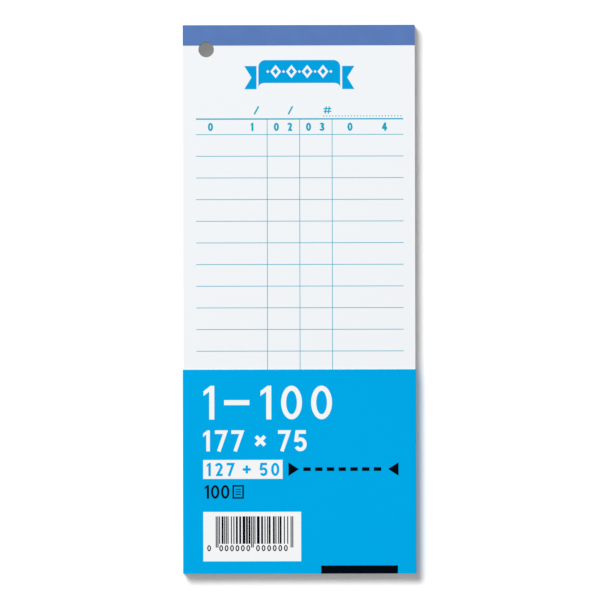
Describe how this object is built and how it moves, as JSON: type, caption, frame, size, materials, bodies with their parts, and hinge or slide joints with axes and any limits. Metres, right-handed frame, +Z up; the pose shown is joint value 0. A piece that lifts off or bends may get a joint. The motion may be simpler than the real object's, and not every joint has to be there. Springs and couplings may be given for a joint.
{
  "type": "guest check pad",
  "caption": "Pad of thin paper bill slips bound at the head with tape, with a punched hole, a chipboard back, tear-off bill parts and a sliding paper belly band.",
  "frame": {"origin": "centre of the bottom of the overall box, on the surface that the pad lies on", "axes": "+Y along the pad towards its bound head, +X across it to the right, +Z up out of the top slip"},
  "size_m": [0.0754, 0.1774, 0.0091],
  "materials": {
    "slip_paper": "uncoated white writing paper, printed in cyan",
    "grey_board": "grey recycled chipboard",
    "padding_glue": "dried flexible padding glue",
    "binding_tape": "matt blue paper binding tape with a fine grain",
    "band_paper": "smooth coated paper printed solid cyan"
  },
  "bodies": {
    "pad": {"backing_board": "grey_board", "head_glue": "padding_glue", "head_tape": "binding_tape", "slip_001_bound_edge": "slip_paper", "slip_002": "slip_paper", "slip_003": "slip_paper", "slip_004": "slip_paper", "slip_005": "slip_paper", "slip_006": "slip_paper", "slip_007": "slip_paper", "slip_008": "slip_paper", "slip_009": "slip_paper", "slip_010": "slip_paper", "slip_011": "slip_paper", "slip_012": "slip_paper", "slip_013": "slip_paper", "slip_014": "slip_paper", "slip_015": "slip_paper", "slip_016": "slip_paper", "slip_017": "slip_paper", "slip_018": "slip_paper", "slip_019": "slip_paper", "slip_020": "slip_paper", "slip_021": "slip_paper", "slip_022": "slip_paper", "slip_023": "slip_paper", "slip_024": "slip_paper", "slip_025": "slip_paper", "slip_026": "slip_paper", "slip_027": "slip_paper", "slip_028": "slip_paper", "slip_029": "slip_paper", "slip_030": "slip_paper", "slip_031": "slip_paper", "slip_032": "slip_paper", "slip_033": "slip_paper", "slip_034": "slip_paper", "slip_035": "slip_paper", "slip_036": "slip_paper", "slip_037": "slip_paper", "slip_038": "slip_paper", "slip_039": "slip_paper", "slip_040": "slip_paper", "slip_041": "slip_paper", "slip_042": "slip_paper", "slip_043": "slip_paper", "slip_044": "slip_paper", "slip_045": "slip_paper", "slip_046": "slip_paper", "slip_047": "slip_paper", "slip_048": "slip_paper", "slip_049": "slip_paper", "slip_050": "slip_paper", "slip_051": "slip_paper", "slip_052": "slip_paper", "slip_053": "slip_paper", "lower_slips_block": "slip_paper"},
    "top_slip": {"slip_001_order": "slip_paper"},
    "bill_part": {"slip_001_bill": "slip_paper"},
    "band": {"belly_band": "band_paper"}
  },
  "joints": [
    {"name": "top_slip_lift", "type": "hinge", "parent": "pad", "child": "top_slip", "pos_m": [0, 0.08207, 0.00905], "axis": [-1, 0, 0], "range_deg": [0, 175]},
    {"name": "bill_tear_off", "type": "slide", "parent": "top_slip", "child": "bill_part", "axis": [0, -1, 0], "range_m": [0, 0.055]},
    {"name": "band_slide", "type": "slide", "parent": "pad", "child": "band", "axis": [0, -1, 0], "range_m": [0, 0.07]}
  ]
}
